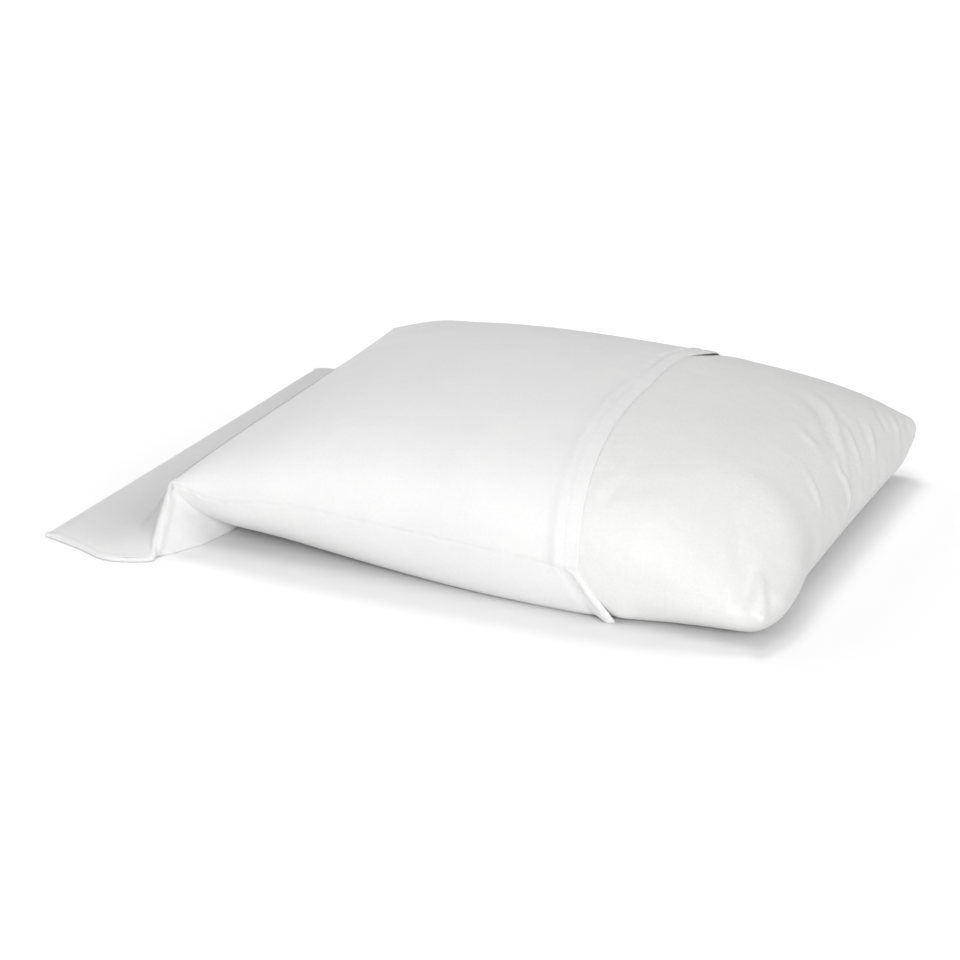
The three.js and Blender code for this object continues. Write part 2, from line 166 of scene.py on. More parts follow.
def place_camera():
    camera = new_object("camera", bpy.data.cameras.new("camera"))
    camera.data.sensor_width = 36.0
    camera.data.lens = VIEW["lens"]
    camera.data.clip_end = 20.0
    aim(camera, Vector(VIEW["target"]) - Vector(ORIGIN), VIEW["azimuth"], VIEW["elevation"], VIEW["distance"])
    bpy.context.scene.camera = camera


place_camera()


# ---- small helpers ----
def lerp(a, b, t):
    return a + (b - a) * t


def smooth(t):
    t = np.clip(t, 0.0, 1.0)
    return t * t * (3.0 - 2.0 * t)


def ramp(place, start, length):
    """0 up to start, easing to 1 over the length."""
    return smooth((place - start) / length)


def bump(place, at, reach):
    """1 at one place, easing to 0 within reach of it."""
    return smooth(1.0 - np.abs((place - at) / reach))


def ridge(place, height, width, at=0.0):
    """A rounded ridge, or a trough where height is below zero."""
    return height * np.exp(-((place - at) / width) ** 2)


def fold(place, height, width, at=0.0):
    """A ridge or trough with the cloth eased back beside it."""
    t = (place - at) / width
    return height * (np.exp(-t * t) - EASED_BACK["share"] * np.exp(-(t * t) / EASED_BACK["spread"]))


def quarter_round(distance, radius):
    """The rise of a rounded edge, 0 at the edge and 1 from the radius on."""
    return np.sqrt(1 - (1 - np.clip(distance / radius, 0, 1)) ** 2)


def through(values, t):
    """A curve through three values, at t = -1, 0 and 1."""
    left, middle, right = values
    return middle + (right - left) / 2 * t + ((right + left) / 2 - middle) * t * t


def waves(place, name):
    """Uneven waves along a seam, between -1 and 1."""
    pitches, seed = WAVES[name]
    chance = np.random.default_rng(seed)
    total = sum(np.sin(place / pitch * 2 * math.pi + chance.uniform(0, 6.3)) for pitch in pitches)
    return total / len(pitches)


def stack(x, y, z):
    return np.stack(np.broadcast_arrays(x, y, z), axis=-1)


def unit(vectors):
    return vectors / np.maximum(np.linalg.norm(vectors, axis=-1, keepdims=True), 1e-12)


# ---- the pillow's form: u along it, v across it, both -1 to 1 ----
def end_reach(u, v):
    puff = END_PUFF["out"] * bump(v, END_PUFF["v"], END_PUFF["reach"])
    blunt = BLUNT_TIP["by"] * ramp(v, BLUNT_TIP["v"], 1 - BLUNT_TIP["v"])
    bow = PILLOW["half_length"] * (1 + np.where(u < 0, BOW["left"], BOW["right"]) * (1 - v * v))
    return bow + np.where(u < 0, 0, puff - blunt)


def plan(u, v):
    half = np.where(v < 0, PILLOW["near_half"] * (1 + BOW["near"] * (1 - u * u)),
                    PILLOW["far_half"] * (1 + BOW["far"] * (1 - u * u)))
    return end_reach(u, v) * u, half * v


def u_at(x, v):
    return x / end_reach(x, v)


def seam_height(u, v):
    near = through(SEAM_HEIGHT["near"], u) - ridge(u, SEAM_DIP["depth"], SEAM_DIP["width"], SEAM_DIP["u"])
    return (near * (1 - v) + through(SEAM_HEIGHT["far"], u) * (1 + v)) / 2


def corner_fill(x, y):
    """How full the pillow is towards its corners, against its plain form."""
    full = np.ones(np.broadcast(x, y).shape)
    for corner in CORNER_FILL:
        end_x = math.copysign(PILLOW["half_length"], corner["x"])
        end_y = -PILLOW["near_half"] if corner["y"] < 0 else PILLOW["far_half"]
        reach = ramp(x, corner["x"], end_x - corner["x"])
        full = full * (1 + corner["share"] * reach * ramp(y, corner["y"], end_y - corner["y"]))
    return full


def pillow_top(u, v):
    x, y = plan(u, v)
    power_u, root_u = (np.where(u < 0, left, right) for left, right in zip(BULGE["left"], BULGE["right"]))
    power_v, root_v = (np.where(v < 0, near, far) for near, far in zip(BULGE["near"], BULGE["far"]))
    rise = (np.maximum(0, 1 - np.abs(u) ** power_u) ** root_u
            * np.maximum(0, 1 - np.abs(v) ** power_v) ** root_v)
    seam = seam_height(u, v)
    crown = PILLOW["crown"] - PILLOW["crown_fall"] * u
    along, across = SHOULDER["reach"]
    fuller = bump(x, SHOULDER["x"], along) * bump(y, SHOULDER["y"], across)
    return stack(x, y, seam + (crown - seam) * rise * corner_fill(x, y) + SHOULDER["rise"] * fuller)


def pillow_under(u, v, rounded_ends=False):
    half = np.where(v < 0, PILLOW["near_half"], PILLOW["far_half"])
    near = through(FOOT_INSET["near"], u) + FOOT_LIFT["inset"] * ramp(u, FOOT_LIFT["u"], FOOT_LIFT["reach"])
    inset = np.maximum(FOOT_INSET["least"], np.where(v < 0, near, through(FOOT_INSET["far"], u)))
    drop = quarter_round((1 - np.abs(v)) * half, inset)
    if rounded_ends:
        drop = drop * quarter_round((1 - np.abs(u)) * PILLOW["half_length"], END_INSET)
    return stack(*plan(u, v), seam_height(u, v) * (1 - drop))


# ---- the mouth of the protector ----
def gaping(v):
    """Where along its edge the mouth stands off the pillow: 1 in the middle of that stretch."""
    return bump(v, HEM_LIFT["v"], HEM_LIFT["reach"])


def hem_top(v):
    near = lerp(HEM["top"], HEM["near_seam"], np.maximum(0, -v) ** HEM["near_power"])
    far = lerp(HEM["top"], HEM["far_seam"], v) - HEM["far_dip"] * v * (1 - v)
    return np.where(v < 0, near, far + HEM_LIFT["flare"] * gaping(v))


def sunk(u, v):
    """How far down from the seam the pillow's underside is: 0 at the seam, 1 on the floor."""
    return 1 - pillow_under(u, v)[..., 2] / seam_height(u, v)


def hem_under(v):
    down = sunk(u_at(HEM["near_seam"], v), v)
    wall = np.where(v < 0, lerp(HEM["near_seam"], HEM["near_floor"], down),
                    lerp(HEM["far_seam"], HEM["far_floor"], down))
    return np.where(down < 1, wall, lerp(HEM["near_floor"], HEM["far_floor"], (v + 1) / 2))


def tuck(v):
    return lerp(-end_reach(-1.0, v), TUCK["x"], sunk(np.full_like(v, TUCK["u"]), v))


def closed_end(v):
    return -end_reach(-1.0, v) * lerp(CLOSED_END["share"], 1.0, v ** CLOSED_END["power"])


# ---- rows of the panels, from the mouth to the closed end ----
def places(cells):
    """Places across a row, closer together towards the seams."""
    return np.sin((np.arange(cells + 1) / cells - 0.5) * math.pi)


def seam_point(row, side):
    if "ridge" in row:
        return lerp(np.array(CORNER[side]), np.array(RIDGE_FOOT[side]), row["ridge"])
    return np.array([*row["seam"][0 if side == "near" else 1], SEAM_LOW], float)


def crest_row(row, cells):
    """A row of the upper panel's empty end: level along its crest, and falling to the seams at its ends."""
    v = places(cells)
    seam = np.where((v < 0)[:, None], seam_point(row, "near"), seam_point(row, "far"))
    reach = np.abs(v)
    fall = np.maximum(0, 1 - reach ** CREST_POWER) ** row["root"]
    return stack(lerp(row["crest"], seam[:, 0], reach ** row["pull"]), np.abs(seam[:, 1]) * v,
                 lerp(seam[:, 2], through(row["z"], v), fall))


def floor_row(row, cells):
    """A row of the lower panel's empty end: from each seam down to the floor, and flat between."""
    v = places(cells)
    facet = round(cells * FACET_SHARE)
    out = np.zeros((cells + 1, 3))
    inner = abs(v[facet])
    for j, value in enumerate(v):
        side = "near" if value < 0 else "far"
        seam, foot = seam_point(row, side), row[side]
        from_seam = min(j, cells - j) / facet
        if from_seam < 1:
            out[j] = lerp(seam, np.array([*foot, 0.0]), from_seam)
            if seam[2] < 1:
                out[j, 2] = seam[2] * max(0.0, 1 - from_seam * FALLS_WITHIN)
        else:
            reach = abs(value) / inner
            out[j] = (lerp(row["mid"], foot[0], smooth(reach ** 3)), foot[1] * reach, 0.0)
    return out


def curved(rows, i, t):
    """t of the way from row i to the next, on a smooth curve through the rows."""
    weights = ((-t + 2 * t ** 2 - t ** 3) / 2, (2 - 5 * t ** 2 + 3 * t ** 3) / 2,
               (t + 4 * t ** 2 - 3 * t ** 3) / 2, (-t ** 2 + t ** 3) / 2)
    return sum(w * rows[i - 1 + n] for n, w in enumerate(weights))


def straight(rows, i, t):
    return lerp(rows[i], rows[i + 1], t)


def filled_in(rows, steps, between):
    """The rows with more rows between them; the first and the last only steer the curve, and are left out."""
    rows = np.asarray(rows)
    out = [between(rows, i, t) for i in range(1, len(rows) - 2) for t in np.arange(steps) / steps]
    return [*out, rows[-2]]


def panel_rows(cells, mouth, end, surface, tail_row, between):
    v = places(cells)
    rows = [surface(mouth(v) - inset, v) for inset in HEM_STEPS]
    start = mouth(v) - HEM_STEPS[-1]
    shares = np.sin(np.arange(1, BODY_STEPS + 1) / BODY_STEPS * math.pi / 2)
    rows += [surface(lerp(start, end(v), share), v) for share in shares]
    corner = rows[-1].copy()
    corner[0], corner[-1] = CORNER["near"], CORNER["far"]
    tail = [tail_row(row, cells) for row in TAIL]
    before, after = lerp(rows[-2], corner, LEAD_IN), 2 * tail[-1] - tail[-2]
    return np.array([*rows[:-1], *filled_in([before, corner, *tail, after], TAIL_STEPS, between)])


def more_columns(rows):
    """Splits the cell beside each seam, where the seam's groove is."""
    near = [lerp(rows[:, 0], rows[:, 1], t) for t in SEAM_CELLS]
    far = [lerp(rows[:, -1], rows[:, -2], t) for t in reversed(SEAM_CELLS)]
    middle = [rows[:, j] for j in range(1, rows.shape[1] - 1)]
    return np.stack([rows[:, 0], *near, *middle, *far, rows[:, -1]], axis=1)


def make_rows():
    """The rows of the upper and the lower panel, joined along the side seams and the end seam."""
    def on(form):
        return lambda x, v: form(np.maximum(-1, u_at(x, v)), v)

    upper = panel_rows(ACROSS["upper"], hem_top, closed_end, on(pillow_top), crest_row, curved)
    upper[:, :, 2] = np.maximum(upper[:, :, 2], SEAM_STAND)
    lower = panel_rows(ACROSS["lower"], hem_under, tuck, on(pillow_under), floor_row, straight)
    for edge in (0, -1):
        upper[:, edge, 2] = np.where(upper[:, edge, 2] <= SEAM_STAND, SEAM_LOW, upper[:, edge, 2])
        lower[:, edge] = upper[:, edge]
    upper[-1, :, 2] = SEAM_LOW
    lower[-1] = crest_row(TAIL[-1], ACROSS["lower"])
    lower[-1, :, 2] = SEAM_LOW
    return more_columns(upper), more_columns(lower)


# ---- folds and seams: heights and widths in millimetres ----
SEAM_GROOVE = dict(height=-0.25, width=1.7)
SEAM_LIPS = dict(height=0.2, width=4.0, at=5.0)
SEAM_PUCKERS = dict(height=0.3, width=9.0)
TAIL_BEAD = dict(height=0.5, width=3.0)
TAIL_RIM = dict(width=3.5, at=4.0)          # the empty end's cloth is puffed up beside its seams
RIM_HEIGHT = dict(upper=1.3, lower=1.2)
TAIL_BLEND = 8                              # rows over which the body's seam turns into the empty end's

# The hems' sewing, by its distance from the mouth's edge. The far part of the upper hem pulls its stitches
# deeper, and the near part has the body's cloth puffed behind it: both parts are stretches of v.
FAR_PART = dict(start=0.1, rise=0.3, end=0.8, fall=0.15)
NEAR_PART = dict(start=0.25, rise=0.5)
UPPER_HEM = dict(groove=dict(at=12.4, height=0.12, width=1.6), crease=dict(at=14.2, height=1.2, width=2.2),
                 puff=dict(at=20.0, reach=9.0, near=2.2, far=1.2), lip=dict(at=14.0, reach=4.0, height=0.6),
                 gathers=dict(at=17.0, width=5.5, start=12.0, rise=3.0, near=0.3, far=0.75),
                 ripples=dict(height=0.16, edge=2.0, end=12.5))
# the lower hem, rolled from the near seam as far as its side's end
LOWER_HEM = dict(groove=dict(at=12.4, height=0.2, width=1.6), side=dict(rise=6.0, end=75.0, fade=10.0),
                 hollow=dict(at=16.0, reach=8.0, depth=0.9), gathers=dict(at=24.0, width=7.0, height=0.6))

# how far the tones reach: the doubled hem's own lighter tone, the painted shade beside the seams, and the
# painted shade on the empty end's tent
DOUBLED = dict(start=11.5, length=2.0)
BY_SEAM = 6.0
PAINTED_TENT_SHADE = dict(rows=3, height=26.0, from_seam=8.0)


def along_rows(rows):
    """Distance across each row from its near seam, and from whichever seam is closer."""
    step = np.linalg.norm(np.diff(rows, axis=1), axis=-1)
    across = np.concatenate([np.zeros((len(rows), 1)), np.cumsum(step, 1)], axis=1)
    return across, np.minimum(across, across[:, -1:] - across)


def along_columns(rows):
    """Distance along each column from the mouth."""
    step = np.linalg.norm(np.diff(rows, axis=0), axis=-1)
    return np.concatenate([np.zeros((1, rows.shape[1])), np.cumsum(step, 0)])


def seam_relief(rows, rim_height):
    """The groove of the side seam, and the small puckers that its stitching draws up beside it."""
    across, from_seam = along_rows(rows)
    run = along_columns(rows)
    near = across < across[:, -1:] / 2
    puckers = np.where(near, waves(run, "near_puckers"), waves(run, "far_puckers"))
    sewn = (ridge(from_seam, **SEAM_GROOVE) + ridge(from_seam, **SEAM_LIPS)
            + ridge(from_seam, SEAM_PUCKERS["height"] * puckers, SEAM_PUCKERS["width"]))
    round_edge = ridge(from_seam, **TAIL_BEAD) + ridge(from_seam, rim_height, **TAIL_RIM)
    on_tail = ramp(np.arange(len(rows)), TAIL_FROM - TAIL_BLEND, TAIL_BLEND)
    return lerp(sewn, round_edge, on_tail[:, None])


def hem_band(inset):
    """How far the folded hem's outer face stands proud, fuller in its middle and curled down at its edge."""
    full = 1 + HEM_BAND["crown"] * np.sin(np.clip(inset / HEM_BAND["width"], 0, 1) * math.pi)
    band = lerp(HEM_EDGE["low"], HEM_BAND["proud"] * full, quarter_round(inset, HEM_EDGE["radius"]))
    return band * (1 - ramp(inset, HEM_BAND["end"], HEM_BAND["fade"]))


def upper_relief(rows, inset, v):
    """What the upper hem's sewing does to the cloth."""
    hem, run = UPPER_HEM, along_rows(rows)[0]
    far = ramp(v, FAR_PART["start"], FAR_PART["rise"]) * (1 - ramp(v, FAR_PART["end"], FAR_PART["fall"]))
    near = ramp(-v, -NEAR_PART["start"], NEAR_PART["rise"])
    puff, lip, gathers, ripples = (hem[key] for key in ("puff", "lip", "gathers", "ripples"))
    relief = hem_band(inset) - fold(inset, **hem["groove"])
    relief = relief - fold(inset, **hem["crease"]) * far
    relief = relief + bump(inset, puff["at"], puff["reach"]) * (puff["near"] * near + puff["far"] * far)
    relief = relief + lip["height"] * bump(inset, lip["at"], lip["reach"]) * near
    drawn = lerp(gathers["near"], gathers["far"], far) * waves(run, "upper_gathers")
    behind = ramp(inset, gathers["start"], gathers["rise"])
    relief = relief + ridge(inset, drawn, gathers["width"], gathers["at"]) * behind
    on_band = (inset < ripples["end"]) * np.clip(inset / ripples["edge"], 0, 1)
    return relief + ripples["height"] * waves(run, "hem_ripples") * on_band


def lower_relief(rows, inset, v):
    """What the lower hem's sewing does to the cloth, and the roll of its near side."""
    hem, (run, from_seam) = LOWER_HEM, along_rows(rows)
    side, hollow, gathers = hem["side"], hem["hollow"], hem["gathers"]
    on_side = ramp(from_seam, 0, side["rise"]) * (1 - ramp(from_seam, side["end"], side["fade"])) * (v < 0)
    tube = lerp(HEM_EDGE["low"], HEM_ROLL["height"] * (1 - ramp(inset, HEM_ROLL["flat"], HEM_ROLL["fall"])),
                quarter_round(inset, HEM_ROLL["edge"]))
    relief = lerp(hem_band(inset) - fold(inset, **hem["groove"]), tube, on_side)
    relief = relief - hollow["depth"] * bump(inset, hollow["at"], hollow["reach"]) * on_side
    drawn = gathers["height"] * waves(run, "lower_gathers")
    return relief + ridge(inset, drawn, gathers["width"], gathers["at"]) * on_side


def leaned(rows, inset):
    """The hem's fold leans out where it meets the floor on the near side."""
    share = (ridge(rows[..., 1], 1.0, HEM_LEAN["spread"], HEM_LEAN["y"])
             * np.clip(1 - rows[..., 2] / HEM_LEAN["below"], 0, 1)
             * (1 - ramp(inset, HEM_LEAN["inset"], HEM_LEAN["fade"])))
    rows = rows.copy()
    rows[..., 1] -= HEM_LEAN["reach"] * share
    return rows


# ---- meshes ----
def grid_normals(rows, facing):
    normals = np.zeros_like(rows)
    face = np.cross(rows[:-1, 1:] - rows[1:, :-1], rows[1:, 1:] - rows[:-1, :-1]) * facing
    for corner in (np.s_[:-1, :-1], np.s_[1:, :-1], np.s_[:-1, 1:], np.s_[1:, 1:]):
        normals[corner] += face
    return unit(normals)


def mesh_from(name, points, faces, uvs=None, flat_from=None, values=None):
    """Points are in millimetres of the drawing; uvs, one for each point, in metres of cloth."""
    mesh = bpy.data.meshes.new(name)
    mesh.from_pydata((np.asarray(points) * MM - ORIGIN).tolist(), [], faces)
    if uvs is not None:
        layer = mesh.uv_layers.new(name="cloth")
        loops = np.zeros(len(mesh.loops), np.int32)
        mesh.loops.foreach_get("vertex_index", loops)
        layer.data.foreach_set("uv", np.asarray(uvs, np.float32)[loops].ravel())
    for key, numbers in (values or {}).items():
        mesh.attributes.new(key, "FLOAT", "POINT").data.foreach_set("value", numbers.astype(np.float32))
    rounded = np.ones(len(mesh.polygons), bool)
    rounded[flat_from:] = flat_from is None
    mesh.polygons.foreach_set("use_smooth", rounded)
    mesh.update()
    return new_object(name, mesh)


def quads(a, b, c, d, facing):
    """Four-sided faces between four equal arrays of vertex numbers."""
    ring = (a, b, c, d) if facing > 0 else (d, c, b, a)
    return np.stack([np.ravel(part) for part in ring], axis=-1).tolist()


def sheet_object(name, outer, inner, facing, values):
    """A closed sheet between two grids of points, with its cloth coordinates and each point's values."""
    deep, wide = outer.shape[:2]
    out = np.arange(deep * wide).reshape(deep, wide)
    back = out + deep * wide
    faces = quads(out[:-1, :-1], out[:-1, 1:], out[1:, 1:], out[1:, :-1], facing)
    faces += quads(back[:-1, :-1], back[1:, :-1], back[1:, 1:], back[:-1, 1:], facing)
    walls_from = len(faces)
    faces += quads(out[:-1, 0], out[1:, 0], back[1:, 0], back[:-1, 0], facing)
    faces += quads(out[:-1, -1], back[:-1, -1], back[1:, -1], out[1:, -1], facing)
    faces += quads(out[-1, :-1], out[-1, 1:], back[-1, 1:], back[-1, :-1], facing)
    faces += quads(out[0, :-1], back[0, :-1], back[0, 1:], out[0, 1:], facing)
    along, across = along_columns(outer), along_rows(outer)[0]
    middle = np.s_[:, wide // 2, None]
    uv = np.stack(np.broadcast_arrays(along[middle], across - across[middle]), axis=-1).reshape(-1, 2) * MM
    points = np.concatenate([outer.reshape(-1, 3), inner.reshape(-1, 3)])
    both = {key: np.concatenate([np.broadcast_to(numbers, (deep, wide)).ravel()] * 2)
            for key, numbers in values.items()}
    return mesh_from(name, points, faces, np.concatenate([uv, uv]), walls_from, both)


def make_panels():
    """Both panels as sheets of cloth sewn together along their seams, and the line of each hem's stitches."""
    base = dict(zip(FACING, make_rows()))
    inset = np.full((len(base["upper"]), 1), BEHIND_HEM)
    inset[:len(HEM_STEPS), 0] = HEM_STEPS
    sheets, lines, lift, off = {}, {}, {}, {}
    normals = {name: grid_normals(rows, FACING[name]) for name, rows in base.items()}
    # both panels' lifts come first, because the seams that they share take the upper panel's
    for name, rows in base.items():
        v = more_columns(places(ACROSS[name])[None, :, None])[..., 0]
        upper = name == "upper"
        off[name] = HEM_LIFT["height"] * gaping(v) * (1 - ramp(inset, 0, HEM_LIFT["fade"])) * upper
        sewn = (upper_relief if upper else lower_relief)(rows, inset, v) + seam_relief(rows, RIM_HEIGHT[name])
        lift[name] = np.maximum(sewn, HEM_EDGE["low"]) + off[name]
    for name, rows in base.items():
        outer = rows + normals[name] * lift[name][..., None]
        inner = rows + normals[name] * (off[name] - CLOTH)[..., None]
        if name == "lower":
            outer, inner = leaned(outer, inset), leaned(inner, inset)
            outer[..., 2] = np.maximum(FLOOR_GAP, outer[..., 2])
            inner[..., 2] = np.maximum(CLOTH, inner[..., 2])
        for j in (0, -1):
            outward = unit(normals["upper"][:, j] + normals["lower"][:, j])
            outer[:, j] = rows[:, j] + outward * lift["upper"][:, j, None]
            inner[:, j] = outer[:, j] - outward * CLOTH
            outer[:, j, 2] = np.maximum(FLOOR_GAP, outer[:, j, 2])
        outer[-1] = rows[-1]
        inner[-1] = lerp(rows[-1], rows[-2], END_SEAM["depth"])
        inner[-1, :, 2] = SEAM_LOW + END_SEAM["gap"] * FACING[name]
        from_seam = along_rows(outer)[1]
        # the empty end stands up as a tent, which gets painted shade: darker where it stands off the floor
        # and away from its seams, standing in for its shadowed hollow behind the pillow and the little light
        # that comes back through its single cloth
        painted_tent_shade = (np.arange(len(rows)) >= TAIL_FROM - PAINTED_TENT_SHADE["rows"])[:, None] * (name == "upper")
        painted_tent_shade = painted_tent_shade * ramp(outer[..., 2], 0, PAINTED_TENT_SHADE["height"]) * ramp(from_seam, 0, PAINTED_TENT_SHADE["from_seam"])
        # by_seam marks the cloth beside a seam, for the painted shade in its puckers and for the bump of the
        # stitches' pulls
        values = dict(doubled=1 - ramp(inset, **DOUBLED), by_seam=ridge(from_seam, 1.0, BY_SEAM), hollow=painted_tent_shade)
        sheets[name] = sheet_object(name + "_panel_cloth", outer, inner, FACING[name], values)
        step = HEM_STEPS.index(STITCH["inset"])
        line = (outer[step] + normals[name][step] * STITCH["proud"])[from_seam[step] > STITCH["clear"]]
        line[:, 2] = np.maximum(line[:, 2], STITCH["thread"] * THREAD_LIFT)
        lines[name] = line
    return sheets, lines


def pillow_base():
    """The pillow before it is filled: a closed form whose covered part lies under the protector."""
    v = places(PILLOW_CELLS["across"])
    bare, covered = PILLOW_CELLS["bare"], PILLOW_CELLS["covered"]

    def grid(mouth, form):
        split = mouth(v) - PILLOW_CELLS["split"]
        shares = np.sin((1 - np.arange(bare + 1) / bare) * math.pi / 2)
        rows = [lerp(split, end_reach(1.0, v), share) for share in shares]
        shares = np.sin(np.arange(1, covered + 1) / covered * math.pi / 2)
        rows += [lerp(split, -end_reach(-1.0, v), share) for share in shares]
        return np.array([form(u_at(x, v), v) for x in rows])

    top = grid(hem_top, pillow_top)
    under = grid(hem_under, lambda u, w: pillow_under(u, w, rounded_ends=True))
    normals = [grid_normals(top, FACING["upper"]), grid_normals(under, FACING["lower"])]
    rim = np.zeros(top.shape[:2], bool)
    rim[0], rim[-1], rim[:, 0], rim[:, -1] = True, True, True, True
    shared = unit(normals[0] + normals[1])
    out = []
    for rows, normal, mouth in ((top, normals[0], hem_top(v)), (under, normals[1], hem_under(v))):
        held = smooth((mouth + COVER["release"] - rows[..., 0]) / COVER["fade"])
        slack = COVER["slack"] * smooth((rows[..., 0] - mouth - COVER["release"]) / COVER["slack_over"])
        ease = COVER["end_ease"] * smooth(-rows[..., 0] / end_reach(-1.0, v) * COVER["parts"]
                                          - (COVER["parts"] - 1))
        dip = HEM_LIFT["dip"] * gaping(v) * bump(rows[..., 0], mouth, COVER["dip_over"]) * (rows is top)
        inward = (COVER["under"] + ease) * held + dip + slack
        out.append(rows - np.where(rim[..., None], shared, normal) * inward[..., None])
    index_top = np.arange(rim.size).reshape(rim.shape)
    index_under = index_top.copy()
    index_under[~rim] = rim.size + np.arange((~rim).sum())
    faces = []
    for index, facing in ((index_top, FACING["upper"]), (index_under, FACING["lower"])):
        faces += quads(index[:-1, :-1], index[:-1, 1:], index[1:, 1:], index[1:, :-1], facing)
    return mesh_from("pillow_filled", np.concatenate([out[0].reshape(-1, 3), out[1][~rim]]), faces)


# ---- the pillow's filling ----
# The cloth is let go past the mouth and above the floor, may move at all from just past the mouth, and has
# cloth to spare from further out: each is where it starts and the length over which it changes. The voxel is
# in metres.
FILL = dict(voxel=0.0053, frames=20, most=5.0, even_out=4, past_mouth=(4.0, 30.0), off_floor=(0.5, 5.0),
            moves=(2.0, 10.0), spare=(50.0, 70.0))
FILLED_CLOTH = dict(quality=5, mass=0.3, tension_stiffness=15, compression_stiffness=15, shear_stiffness=5,
                    bending_stiffness=6, use_pressure=True, uniform_pressure_force=4.0,
                    vertex_group_mass="held", vertex_group_shrink="spare", shrink_min=0.0, shrink_max=-0.03)
WORN_EDGE = dict(u=(0.4, 0.15), v=(0.78, 0.12), reach=26.0, above=3.0, rounds=14,
                 tip=(270.0, -213.0, 30.0), tip_share=0.45, tip_reach=30.0)


def drawing_points(mesh):
    """Vertex positions in millimetres of the drawing."""
    points = np.zeros(len(mesh.vertices) * 3)
    mesh.vertices.foreach_get("co", points)
    return (points.reshape(-1, 3) + ORIGIN) / MM


def put_points(mesh, points):
    mesh.vertices.foreach_set("co", (points * MM - ORIGIN).ravel())
    mesh.update()


def vertex_normals(mesh):
    normals = np.zeros(len(mesh.vertices) * 3)
    mesh.vertices.foreach_get("normal", normals)
    return normals.reshape(-1, 3)


def stations(points):
    """Where points on the pillow lie along it (u) and across it (v)."""
    u = np.clip(points[:, 0] / PILLOW["half_length"], -1, 1)
    near, far = plan(u, -1.0)[1], plan(u, 1.0)[1]
    return u, np.clip(np.where(points[:, 1] < 0, -points[:, 1] / near, points[:, 1] / far), -1, 1)


def past_mouth(points):
    """How far points on the pillow lie beyond the protector's mouth, along X."""
    u, v = stations(points)
    return points[:, 0] - np.where(points[:, 2] > seam_height(u, v), hem_top(v), hem_under(v))


def worked_in(piece):
    """Replaces the piece's mesh by what its modifiers make of it, and removes them."""
    graph = bpy.context.evaluated_depsgraph_get()
    mesh = bpy.data.meshes.new_from_object(piece.evaluated_get(graph), depsgraph=graph)
    piece.modifiers.clear()
    piece.data = mesh


def add_group(piece, name, weights):
    group = piece.vertex_groups.new(name=name)
    for index, weight in enumerate(weights.tolist()):
        group.add([index], weight, "REPLACE")


def evened(mesh, values, rounds):
    """Each vertex's values averaged with its neighbours', some rounds over."""
    edges = np.zeros(len(mesh.edges) * 2, np.int32)
    mesh.edges.foreach_get("vertices", edges)
    a, b = edges.reshape(-1, 2).T
    count = np.bincount(np.concatenate([a, b]), minlength=len(values))[:, None] + 1.0
    for _ in range(rounds):
        total = values.copy()
        np.add.at(total, a, values[b])
        np.add.at(total, b, values[a])
        values = total / count
    return values


def press_out(piece, held, spare):
    """Cloth under pressure: held points stay, and spare ones have cloth to give."""
    add_group(piece, "held", held)
    add_group(piece, "spare", spare)
    cloth = piece.modifiers.new("cloth", "CLOTH")
    for key, value in FILLED_CLOTH.items():
        setattr(cloth.settings, key, value)
    cloth.settings.effector_weights.gravity = 0
    cloth.collision_settings.use_collision = False
    cloth.collision_settings.use_self_collision = False
    for frame_number in range(1, FILL["frames"] + 1):
        bpy.context.scene.frame_set(frame_number)
    worked_in(piece)
    bpy.context.scene.frame_set(1)


def worn_round(mesh, points):
    """The near side's seam towards the bare end worn round, less so at the corner's tip."""
    u, v = stations(points)
    share = (ramp(u, *WORN_EDGE["u"]) * ramp(-v, *WORN_EDGE["v"])
             * bump(points[:, 2], seam_height(u, v), WORN_EDGE["reach"]))
    from_tip = np.linalg.norm(points - WORN_EDGE["tip"], axis=1)
    share = share * lerp(WORN_EDGE["tip_share"], 1.0, ramp(from_tip, 0, WORN_EDGE["tip_reach"]))
    share = share * (points[:, 2] > WORN_EDGE["above"])
    return lerp(points, evened(mesh, points, WORN_EDGE["rounds"]), share[:, None])


def blow_up(piece):
    """Fills the bare part of the pillow as cloth under pressure, with the covered part held."""
    def share(place, start, length):
        return (place - start) / length

    remesh = piece.modifiers.new("even_mesh", "REMESH")
    remesh.mode = "VOXEL"
    remesh.voxel_size = FILL["voxel"]
    worked_in(piece)
    start = drawing_points(piece.data)
    beyond = past_mouth(start)
    held = np.maximum(1 - share(beyond, *FILL["past_mouth"]), 1 - share(start[:, 2], *FILL["off_floor"]))
    press_out(piece, np.clip(held, 0, 1), ramp(beyond, *FILL["spare"]))
    moved = evened(piece.data, drawing_points(piece.data) - start, FILL["even_out"])
    length = np.linalg.norm(moved, axis=1, keepdims=True)
    moves = np.clip(share(beyond, *FILL["moves"]), 0, 1)[:, None]
    end = start + moved * moves * np.minimum(1, FILL["most"] / np.maximum(length, 1e-9))
    put_points(piece.data, worn_round(piece.data, end))
    piece.modifiers.new("finer", "SUBSURF").levels = 1
    worked_in(piece)
    crease(piece)
    end = drawing_points(piece.data)
    end[:, 2] = np.maximum(end[:, 2], FLOOR_GAP)
    put_points(piece.data, end)
    piece.data.polygons.foreach_set("use_smooth", np.ones(len(piece.data.polygons), bool))


